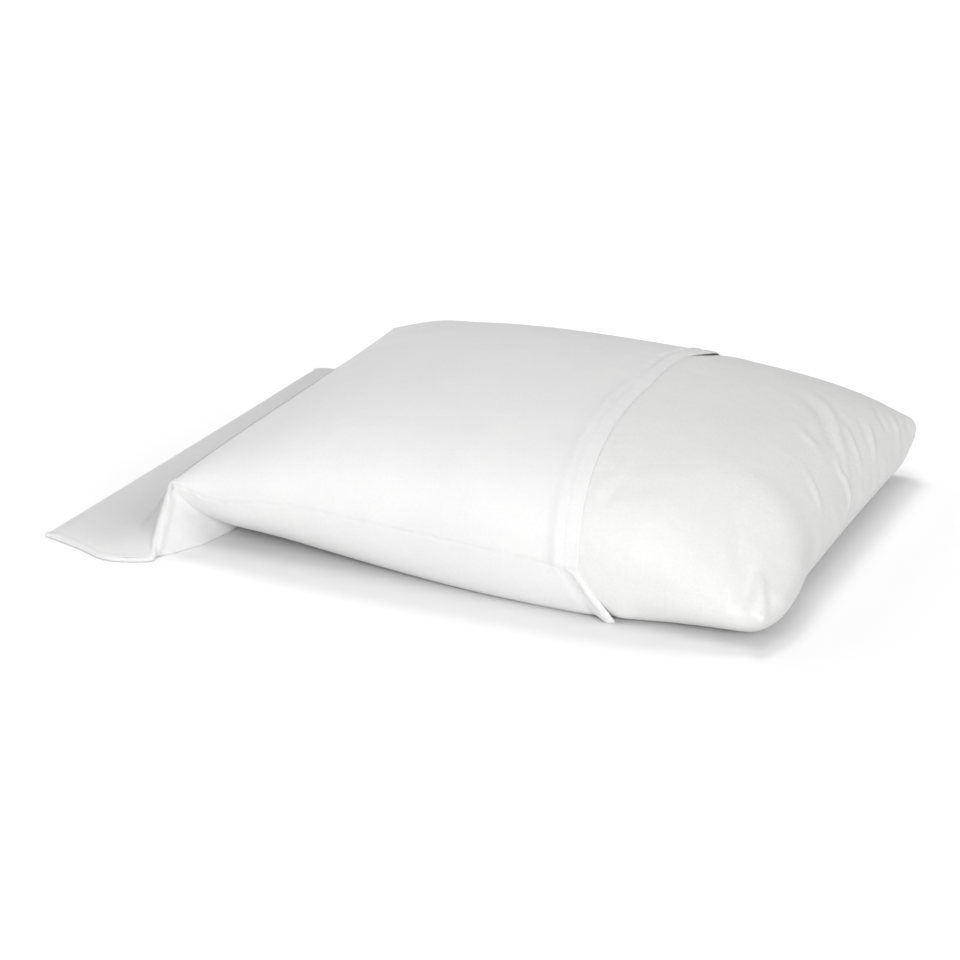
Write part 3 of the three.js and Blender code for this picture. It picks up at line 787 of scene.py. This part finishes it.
# ---- the pillow's creases and its own seam ----
# Creases of the bare end: how far each stands out (or in, below zero) and its half-width, then its line, as
# places along and across the pillow, with a height where they lie on its end face.
CREASES = (
    (2.4, 6.5, ((200, 100), (217, 91), (234, 73), (248, 48), (260, 30), (268, 18))),
    (-1.6, 8, ((190, 88), (210, 76), (228, 58), (242, 36), (252, 22))),
    (2.0, 4.6, ((240, 76), (248, 71), (256, 63), (265, 56), (270, 49))),
    (2.6, 4.4, ((252, 28), (262, 11), (267, 13), (272, 12, 46), (272, 4, 37), (272, -8, 34))),
    (1.5, 6, ((212, 24), (228, 11), (239, 6), (249, -3))),
    (1.9, 4.8, ((243, -36), (255, -45), (264, -52), (269, -58))),
    (1.9, 4.2, ((252, 117), (263, 100), (271, 85))),
    (-1.1, 5, ((244, 108), (256, 96), (266, 82))),
    (2.0, 4.2, ((272, 100, 45), (272, 90, 39), (272, 80, 38))),
    (1.6, 5, ((272, 68, 39), (272, 56, 38), (272, 42, 37))),
    (-1.5, 5, ((242, 163), (256, 143), (266, 134))),
    (2.2, 5.5, ((254, 171), (265, 162), (272, 152, 50))),
    (-1.4, 5, ((258, 203), (266, 190), (271, 177))),
    (-6.0, 7.5, ((240, -170), (243, -188), (246, -206), (250, -211, 24))),
    (4.2, 5.2, ((243, -171), (249, -181), (256, -193), (265, -205))),
    (-2.0, 5, ((223, -150), (225, -165), (228, -182), (233, -201))),
    (-2.0, 5.5, ((128, -147), (125, -169), (123, -184), (122, -196))),
    (1.6, 6, ((117, -158), (115, -172), (114, -186))),
    (-0.8, 9, ((96, 62), (110, 55), (124, 50))),
)
# the share of those heights that is raised, the steps between a line's points, and how far a crease reaches
CREASE = dict(share=0.9, steps=6, near=20.0, ends=0.02)
# where the pillow swells a little further: the far bare corner's tip, and beside the rolled hem
SWELLS = (dict(at=(263, 209, 45), reach=(20, 20, 24), out=np.array([4.0, 3.0, 0.8])),
          dict(at=(146, -203, 11), reach=(16, 14, 13), out=np.array([0.0, -3.5, 0.0])))
# the seam round the bare end, by where it starts on the end and the sides, its groove and its gathers
BARE_SEAM = dict(u=(0.93, 0.05), v=(0.96, 0.03), from_mouth=25.0, turn_u=0.97, turn_run=40.0)
BARE_GROOVE = dict(sides=0.3, end=0.6, width=2.4)
BARE_GATHERS = dict(sides=0.35, end=0.7, width=15.0, slant=0.3, coarse=0.9, fine=0.06)


def on_pillow(point):
    """The place on the pillow's plain form for a crease's point: along, across and perhaps a height."""
    u, v = point[0] / PILLOW["half_length"], point[1] / PILLOW["near_half"]
    place = pillow_top(u, v).ravel()
    return place if len(point) == 2 else np.array([place[0], place[1], point[2]])


def laid_line(line, tree):
    """A crease's line, drawn smoothly through its points and laid on the pillow's surface."""
    corners = np.array([on_pillow(point) for point in line])
    guided = [2 * corners[0] - corners[1], *corners, 2 * corners[-1] - corners[-2]]
    drawn = filled_in(guided, CREASE["steps"], curved)
    return np.array([tree.find_nearest(Vector(point))[0][:] for point in drawn])


def from_line(points, line):
    """Each point's distance from a line, and how far along the line its nearest place is, from 0 to 1."""
    best, along = np.full(len(points), np.inf), np.zeros(len(points))
    for n, (a, b) in enumerate(zip(line[:-1], line[1:])):
        part = b - a
        t = np.clip((points - a) @ part / max(part @ part, 1e-9), 0, 1)
        distance = np.linalg.norm(points - a - t[:, None] * part, axis=1)
        along = np.where(distance < best, (n + t) / (len(line) - 1), along)
        best = np.minimum(distance, best)
    return best, along


def crease_lift(points, faces):
    """How far the creases raise each point."""
    tree = BVHTree.FromPolygons(points.tolist(), faces)
    lift = np.zeros(len(points))
    for height, width, line in CREASES:
        line = laid_line(line, tree)
        near = ((points > line.min(0) - CREASE["near"]) & (points < line.max(0) + CREASE["near"])).all(1)
        distance, along = from_line(points[near], line)
        taper = np.sin(np.clip(along, CREASE["ends"], 1 - CREASE["ends"]) * math.pi)
        lift[near] += CREASE["share"] * fold(distance, height, width) * taper
    return lift


def seam_lift(points):
    """The seam round the bare end, and the cloth that its stitches gather."""
    u, v = stations(points)
    off = points[:, 2] - seam_height(u, v)
    at_end = ramp(u, *BARE_SEAM["u"])
    edge = np.maximum(at_end, ramp(np.abs(v), *BARE_SEAM["v"]))
    edge = edge * smooth(past_mouth(points) / BARE_SEAM["from_mouth"])
    run = np.where(u > BARE_SEAM["turn_u"], points[:, 1], points[:, 0] + BARE_SEAM["turn_run"])
    gathers = (waves(run + off * BARE_GATHERS["slant"], "bare_gathers") * BARE_GATHERS["coarse"]
               + waves(run, "bare_ripples") * BARE_GATHERS["fine"])
    raised, groove = (lerp(part["sides"], part["end"], at_end) for part in (BARE_GATHERS, BARE_GROOVE))
    return edge * (ridge(off, gathers * raised, BARE_GATHERS["width"])
                   - ridge(off, groove, BARE_GROOVE["width"]))


def crease(piece):
    """Raises the creases, the seam's gathers and the two swells on the pillow's bare end."""
    points, normals = drawing_points(piece.data), vertex_normals(piece.data)
    lift = crease_lift(points, [face.vertices[:] for face in piece.data.polygons]) + seam_lift(points)
    moved = normals * lift[:, None]
    for swell in SWELLS:
        share = np.prod(bump(points, swell["at"], swell["reach"]), axis=1)
        moved = moved + share[:, None] * swell["out"]
    put_points(piece.data, points + moved)


# ---- stitches ----
def put(tree, kind, sockets=None, **settings):
    """Adds a node; sockets holds values, or other nodes' outputs to join to."""
    made = tree.nodes.new(kind)
    for key, value in settings.items():
        setattr(made, key, value)
    for key, value in (sockets or {}).items():
        if isinstance(value, bpy.types.NodeSocket):
            tree.links.new(value, made.inputs[key])
        else:
            made.inputs[key].default_value = value
    return made


def new_group(name, kind, takes, gives):
    """A node group with named sockets, given as name: (type, value), and its input and output nodes."""
    group = bpy.data.node_groups.new(name, kind)
    for key, (socket_type, value) in takes.items():
        socket = group.interface.new_socket(key, in_out="INPUT", socket_type="NodeSocket" + socket_type)
        if value is not None:
            socket.default_value = value
    for key, socket_type in gives.items():
        group.interface.new_socket(key, in_out="OUTPUT", socket_type="NodeSocket" + socket_type)
    return group, group.nodes.new("NodeGroupInput").outputs, group.nodes.new("NodeGroupOutput").inputs


def stitch_tree():
    """Short threads laid end to end along a line, each a little different."""
    tree, given, result = new_group(
        "running_stitches", "GeometryNodeTree",
        {"Geometry": ("Geometry", None), "Pitch": ("Float", 0.003), "Length": ("Float", 0.002),
         "Thread": ("Float", 0.0004), "Shortest": ("Float", 0.86), "Longest": ("Float", 1.08),
         "Seed": ("Int", 5), "Material": ("Material", None)}, {"Geometry": "Geometry"})

    def then(kind, sockets=None, output=0, **settings):
        return put(tree, kind, sockets, **settings).outputs[output]

    curve = then("GeometryNodeMeshToCurve", {"Mesh": given["Geometry"]})
    spots = then("GeometryNodeResampleCurve", {"Curve": curve, "Length": given["Pitch"]}, mode="LENGTH")
    tangent = then("GeometryNodeInputTangent")
    heading = then("FunctionNodeAlignRotationToVector", {"Vector": tangent}, axis="X")
    uneven = then("FunctionNodeRandomValue",
                  {2: given["Shortest"], 3: given["Longest"], "Seed": given["Seed"]},
                  output=1, data_type="FLOAT")
    size = then("ShaderNodeCombineXYZ", {"X": given["Length"], "Y": given["Thread"], "Z": given["Thread"]})
    scale = then("ShaderNodeVectorMath", {0: size, 3: uneven}, operation="SCALE")
    thread = then("GeometryNodeMeshUVSphere", {"Segments": 8, "Rings": 5, "Radius": 0.5})
    turned = then("GeometryNodeTransform", {"Geometry": thread, "Rotation": (0, math.pi / 2, 0)})
    laid = then("GeometryNodeInstanceOnPoints",
                {"Points": spots, "Instance": turned, "Rotation": heading, "Scale": scale})
    joined = then("GeometryNodeRealizeInstances", {0: laid})
    rounded = then("GeometryNodeSetShadeSmooth", {"Geometry": joined})
    dressed = then("GeometryNodeSetMaterial", {"Geometry": rounded, "Material": given["Material"]})
    tree.links.new(dressed, result[0])
    return tree


def sew(tree, name, line, material):
    """A row of stitches along a line of points."""
    mesh = bpy.data.meshes.new(name)
    mesh.from_pydata((line * MM - ORIGIN).tolist(), [(n, n + 1) for n in range(len(line) - 1)], [])
    piece = new_object(name, mesh)
    modifier = piece.modifiers.new("stitches", "NODES")
    modifier.node_group = tree
    given = {"Pitch": STITCH["pitch"] * MM, "Length": STITCH["length"] * MM, "Thread": STITCH["thread"] * MM,
             "Seed": len(name), "Material": material}
    for item in tree.interface.items_tree:
        if item.in_out == "INPUT" and item.name in given:
            modifier[item.identifier] = given[item.name]
    worked_in(piece)
    return piece


# ---- looks ----
MIX_SOCKETS = dict(VECTOR=(4, 5, 1), RGBA=(6, 7, 2))        # the two inputs and the output of each kind
SLUB = dict(scale=0.35, drawn_out=0.02, height=4.0)         # a thicker stretch of thread
PATCHES = dict(between=(0.32, 0.68), detail=3.0, breakup=0.6)
ROUGHNESS = dict(least=0.78, more=0.1)
DENTS = dict(detail=1.5, bend=0.4)
WRINKLES = dict(finer=3.0, drawn_out=0.35, detail=2.0, bend=1.2, width=0.1)
FACES_UP = 0.7                                              # the least share of a normal that counts as a top
WEAVE_BUMP = dict(height=0.1, strength=0.6)                 # its height as a share of the thread's width


def calc(tree, operation, first, second=None, third=None):
    """A Math node's result."""
    given = {n: value for n, value in enumerate((first, second, third)) if value is not None}
    return put(tree, "ShaderNodeMath", given, operation=operation).outputs[0]


def calc_vector(tree, operation, first, second=None, scale=None):
    """A Vector Math node's result."""
    given = {n: value for n, value in ((0, first), (1, second), (3, scale)) if value is not None}
    return put(tree, "ShaderNodeVectorMath", given, operation=operation).outputs[0]


def noise(tree, vector, scale, detail, **more):
    given = {"Vector": vector, "Scale": scale, "Detail": detail, **more}
    return put(tree, "ShaderNodeTexNoise", given).outputs[0]


def spread(tree, value, across, onto):
    """A value's range laid onto another range."""
    return put(tree, "ShaderNodeMapRange", dict(enumerate((value, *across, *onto)))).outputs[0]


def mixed(tree, kind, share, first, second):
    one, other, out = MIX_SOCKETS[kind]
    return put(tree, "ShaderNodeMix", {0: share, one: first, other: second}, data_type=kind).outputs[out]


def weave_group():
    """Plain weave, threads over and under, with a few thicker threads; Pitch is one thread's width."""
    tree, given, result = new_group("plain_weave", "ShaderNodeTree",
                                    {"Vector": ("Vector", None), "Pitch": ("Float", 0.0005),
                                     "Slubs": ("Float", 0.4)}, {"Height": "Float", "Shade": "Float"})
    scaled = calc_vector(tree, "SCALE", given["Vector"], scale=calc(tree, "DIVIDE", math.pi, given["Pitch"]))
    across = put(tree, "ShaderNodeSeparateXYZ", {0: scaled}).outputs
    crossing = calc(tree, "MULTIPLY", calc(tree, "SINE", across[0]), calc(tree, "SINE", across[1]))
    thick = 0.0
    for stretch in ((SLUB["drawn_out"], 1.0, 1.0), (1.0, SLUB["drawn_out"], 1.0)):
        drawn = noise(tree, calc_vector(tree, "MULTIPLY", scaled, stretch), SLUB["scale"], 1.0)
        thick = calc(tree, "ADD", thick, calc(tree, "SUBTRACT", drawn, 0.5))
    uneven = calc(tree, "MULTIPLY", thick, given["Slubs"])
    raised = calc(tree, "ADD", crossing, calc(tree, "MULTIPLY", uneven, SLUB["height"]))
    tree.links.new(raised, result["Height"])
    tree.links.new(calc(tree, "MULTIPLY_ADD", crossing, 0.5, calc(tree, "ADD", uneven, 0.5)), result["Shade"])
    return tree


def tone_group():
    """Cotton's colour: soft patches between two whites, and painted shade that makes it darker between the
    threads.
    """
    tree, given, result = new_group(
        "cotton_tone", "ShaderNodeTree",
        {"Vector": ("Vector", None), "White": ("Color", (0.75, 0.75, 0.75, 1)),
         "Second White": ("Color", (0.7, 0.7, 0.7, 1)), "Patches": ("Float", 14.0), "Lint": ("Float", 420.0),
         "Threads": ("Float", 0.5), "Depth": ("Float", 0.05)}, {"Color": "Color", "Roughness": "Float"})
    broad = noise(tree, given["Vector"], given["Patches"], PATCHES["detail"], Roughness=PATCHES["breakup"])
    fine = noise(tree, given["Vector"], given["Lint"], 2.0)
    share = spread(tree, broad, PATCHES["between"], (0.0, 1.0))
    both = mixed(tree, "RGBA", share, given["White"], given["Second White"])
    # painted shade in the weave's valleys, and lint that differs at random
    painted_thread_shade = calc(tree, "MULTIPLY", calc(tree, "SUBTRACT", 1.0, given["Threads"]), given["Depth"])
    lint = calc(tree, "MULTIPLY", calc(tree, "SUBTRACT", fine, 0.5), given["Depth"])
    level = calc(tree, "SUBTRACT", 1.0, calc(tree, "ADD", painted_thread_shade, lint))
    tree.links.new(calc_vector(tree, "SCALE", both, scale=level), result["Color"])
    rough = calc(tree, "MULTIPLY_ADD", share, ROUGHNESS["more"], ROUGHNESS["least"])
    tree.links.new(rough, result["Roughness"])
    return tree


def rumple_group():
    """The soft unevenness of laid cloth: broad dents and a few fine, drawn-out wrinkles, in metres."""
    tree, given, result = new_group(
        "soft_rumples", "ShaderNodeTree",
        {"Vector": ("Vector", None), "Dents": ("Float", 0.0006), "Wrinkles": ("Float", 0.0002),
         "Size": ("Float", 0.03)}, {"Height": "Float"})
    scale = calc(tree, "DIVIDE", 1.0, given["Size"])
    dents = noise(tree, given["Vector"], scale, DENTS["detail"], Distortion=DENTS["bend"])
    drawn = calc_vector(tree, "MULTIPLY", given["Vector"], (1.0, WRINKLES["drawn_out"], 1.0))
    finer = calc(tree, "MULTIPLY", scale, WRINKLES["finer"])
    lines = noise(tree, drawn, finer, WRINKLES["detail"], Distortion=WRINKLES["bend"])
    # a wrinkle runs where the noise crosses its middle
    from_middle = calc(tree, "ABSOLUTE", calc(tree, "SUBTRACT", lines, 0.5))
    width = WRINKLES["width"]
    wrinkle = calc(tree, "SUBTRACT", width, calc(tree, "MINIMUM", width, from_middle))
    raised = calc(tree, "MULTIPLY", calc(tree, "MULTIPLY", wrinkle, 1 / width), given["Wrinkles"])
    tree.links.new(calc(tree, "MULTIPLY_ADD", dents, given["Dents"], raised), result["Height"])
    return tree


def flattened_group():
    """Coordinates laid onto a solid's faces, so that threads run the same way on its top, sides and ends."""
    tree, given, result = new_group(
        "threads_on_solid", "ShaderNodeTree",
        {"Vector": ("Vector", None), "Normal": ("Vector", None)}, {"Vector": "Vector"})
    place = put(tree, "ShaderNodeSeparateXYZ", {0: given["Vector"]}).outputs
    facing = put(tree, "ShaderNodeSeparateXYZ", {0: calc_vector(tree, "ABSOLUTE", given["Normal"])}).outputs
    level = calc(tree, "GREATER_THAN", facing[2], FACES_UP)
    to_side = calc(tree, "GREATER_THAN", facing[1], facing[0])
    top, side, end = (put(tree, "ShaderNodeCombineXYZ", {0: place[a], 1: place[b]}).outputs[0]
                      for a, b in ((0, 1), (0, 2), (2, 1)))
    upright = mixed(tree, "VECTOR", to_side, end, side)
    tree.links.new(mixed(tree, "VECTOR", level, upright, top), result["Vector"])
    return tree


def new_material(name, sockets):
    """A material, its node tree and its shader, with the values given for the shader's own sockets."""
    material = bpy.data.materials.new(name)
    material.use_nodes = True
    shader = material.node_tree.nodes["Principled BSDF"]
    for key, value in sockets.items():
        shader.inputs[key].default_value = value
    return material, material.node_tree, shader


# how much lighter the doubled hem is of its own, the painted shade beside a seam in its puckers, and the
# painted shade on the empty end's tent; and how the stitches pull the cloth up beside a seam
CLOTH_TONES_AND_PAINTED_SHADE = dict(doubled=0.012, by_seam=-0.01, hollow=-0.32)
PULLS = dict(scale=210.0, height=0.0004)


def cotton(name, groups, white, second, pitch, dents, wrinkles, size, sheen, depth, on_cloth=False):
    """A woven cotton, with sizes in millimetres; on_cloth where the piece has cloth coordinates and seams,
    and painted shade by its seams and on its empty end.
    """
    material, tree, shader = new_material(
        name, {"Sheen Weight": sheen, "Sheen Roughness": 0.6, "Specular IOR Level": 0.25})
    solid = put(tree, "ShaderNodeTexCoord").outputs["Object"]

    def grouped(key, sockets):
        return put(tree, "ShaderNodeGroup", sockets, node_tree=groups[key]).outputs

    if on_cloth:
        laid = put(tree, "ShaderNodeUVMap", uv_map="cloth").outputs[0]
    else:
        normal = put(tree, "ShaderNodeNewGeometry").outputs["Normal"]
        laid = grouped("solid", {"Vector": solid, "Normal": normal})[0]
    threads = grouped("weave", {"Vector": laid, "Pitch": pitch * MM})
    tone = grouped("tone", {"Vector": solid, "White": (*white, 1), "Second White": (*second, 1),
                            "Threads": threads["Shade"], "Depth": depth})
    rumpled = grouped("rumple", {"Vector": solid, "Dents": dents * MM, "Wrinkles": wrinkles * MM,
                                 "Size": size * MM})["Height"]
    colour = tone["Color"]
    if on_cloth:
        # painted shade: darker beside the seams and on the empty end's tent; the doubled hem is a little
        # lighter of its own
        marks = {key: put(tree, "ShaderNodeAttribute", attribute_name=key).outputs["Fac"] for key in CLOTH_TONES_AND_PAINTED_SHADE}
        level = calc(tree, "ADD", calc(tree, "MULTIPLY_ADD", marks["doubled"], CLOTH_TONES_AND_PAINTED_SHADE["doubled"], 1.0),
                     calc(tree, "MULTIPLY_ADD", marks["by_seam"], CLOTH_TONES_AND_PAINTED_SHADE["by_seam"],
                          calc(tree, "MULTIPLY", marks["hollow"], CLOTH_TONES_AND_PAINTED_SHADE["hollow"])))
        colour = calc_vector(tree, "SCALE", colour, scale=level)
        pulls = calc(tree, "MULTIPLY", noise(tree, solid, PULLS["scale"], 1.0), marks["by_seam"])
        rumpled = calc(tree, "MULTIPLY_ADD", pulls, PULLS["height"], rumpled)
    tree.links.new(colour, shader.inputs["Base Color"])
    tree.links.new(tone["Roughness"], shader.inputs["Roughness"])
    soft = put(tree, "ShaderNodeBump", {"Height": rumpled, "Distance": 1.0, "Strength": 1.0}).outputs[0]
    raised = put(tree, "ShaderNodeBump", {
        "Height": threads["Height"], "Distance": pitch * MM * WEAVE_BUMP["height"],
        "Strength": WEAVE_BUMP["strength"], "Normal": soft}).outputs[0]
    tree.links.new(raised, shader.inputs["Normal"])
    return material


# the two whites, a thread's width, the dents' and wrinkles' heights and their size, the sheen, and how much
# the painted shade between the threads and the lint show
COTTONS = dict(
    protector_cotton=dict(white=(0.76, 0.76, 0.757), second=(0.735, 0.735, 0.735), pitch=0.45,
                          dents=0.5, wrinkles=0.03, size=34, sheen=0.06, depth=0.06, on_cloth=True),
    pillow_cotton=dict(white=(0.745, 0.745, 0.74), second=(0.715, 0.715, 0.712), pitch=0.38,
                       dents=0.7, wrinkles=0.05, size=30, sheen=0.08, depth=0.08),
    hem_thread=dict(white=(0.78, 0.78, 0.775), second=(0.74, 0.74, 0.735), pitch=0.12,
                    dents=0.0, wrinkles=0.0, size=30, sheen=0.15, depth=0.12),
)


# ---- floor and light ----
FLOOR_SIZE = 6.0                                    # half its width, in metres
FLOOR_GLOW = dict(distance=(0.3, 2.4), strength=(0.0, 0.6))
WALL = dict(around=0.395, seen=1.0)                 # its light on the object, and its own white
# Each light's bearing from the near side and its height, in degrees, its distance and size in metres, the
# level that it lays on a surface facing it at the middle of the floor, and its reach: the floor alone
# (INCLUDE), all but the floor (EXCLUDE), or everything. The front lights are kept off the floor, which a
# light from behind fills, so that a soft shadow lies in front.
LIGHTS = (
    ("front_softbox", 0, 30, 3.4, (1.6, 1.4), 0.3, "EXCLUDE"),
    ("floor_softbox", -156, 61, 2.8, (0.8, 0.8), 0.31, "INCLUDE"),
    ("low_softbox", 4, 5, 3.0, (1.8, 0.4), 0.15, "EXCLUDE"),
    ("right_softbox", 57, 18, 3.4, (1.6, 1.2), 0.31, None),
    ("left_softbox", -110, 35, 2.6, (1.5, 1.5), 0.18, None),
    ("overhead_softbox", 20, 85, 2.6, (1.5, 1.5), 0.285, None),
)


def make_floor():
    mesh = bpy.data.meshes.new("floor")
    mesh.from_pydata([(x * FLOOR_SIZE, y * FLOOR_SIZE, 0) for x, y in ((-1, -1), (1, -1), (1, 1), (-1, 1))],
                     [], [(0, 1, 2, 3)])
    material, tree, shader = new_material("pale_floor", {
        "Base Color": (0.92, 0.92, 0.92, 1), "Roughness": 0.85, "Emission Color": (1, 1, 1, 1)})
    # the sweep is lit more and more of itself further out, where the softboxes don't reach
    out = put(tree, "ShaderNodeVectorMath", {0: put(tree, "ShaderNodeTexCoord").outputs["Object"]},
              operation="LENGTH").outputs["Value"]
    tree.links.new(spread(tree, out, FLOOR_GLOW["distance"], FLOOR_GLOW["strength"]),
                   shader.inputs["Emission Strength"])
    mesh.materials.append(material)
    floor = new_object("floor", mesh)
    return floor


def set_up_studio():
    """Soft light from all round, with the studio's wall itself white."""
    scene = bpy.context.scene
    scene.view_settings.view_transform = "Standard"
    scene.world = bpy.data.worlds.new("studio")
    scene.world.use_nodes = True
    tree = scene.world.node_tree
    tree.nodes["Background"].inputs["Color"].default_value = (1, 1, 1, 1)
    seen = put(tree, "ShaderNodeLightPath").outputs["Is Camera Ray"]
    tree.links.new(spread(tree, seen, (0, 1), (WALL["around"], WALL["seen"])),
                   tree.nodes["Background"].inputs["Strength"])


def softbox(name, azimuth, elevation, distance, size, level, reach, floor):
    lamp = bpy.data.lights.new(name, "AREA")
    lamp.shape = "RECTANGLE"
    lamp.size, lamp.size_y = size
    lamp.energy = level * math.pi * math.pi * distance * distance
    thing = new_object(name, lamp)
    aim(thing, Vector(), azimuth, elevation, distance)
    if reach:
        group = bpy.data.collections.new(name + "_reach")
        group.objects.link(floor)
        group.collection_objects[0].light_linking.link_state = reach
        thing.light_linking.receiver_collection = group


# ---- the whole ----
set_up_studio()
floor = make_floor()
for light in LIGHTS:
    softbox(*light, floor)
panels, hem_lines = make_panels()
pillow = pillow_base()
blow_up(pillow)

GROUPS = dict(weave=weave_group(), tone=tone_group(), rumple=rumple_group(), solid=flattened_group())
cottons = {name: cotton(name, GROUPS, **look) for name, look in COTTONS.items()}
stitching = stitch_tree()
for name, panel in panels.items():
    panel.data.materials.append(cottons["protector_cotton"])
    stitches = sew(stitching, name + "_hem_stitches", hem_lines[name], cottons["hem_thread"])
    for piece in (panel, stitches):
        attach(piece, "root")
    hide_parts(name + "_panel")
pillow.data.materials.append(cottons["pillow_cotton"])
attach(pillow, "root")
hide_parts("pillow")

bpy.context.view_layer.update()
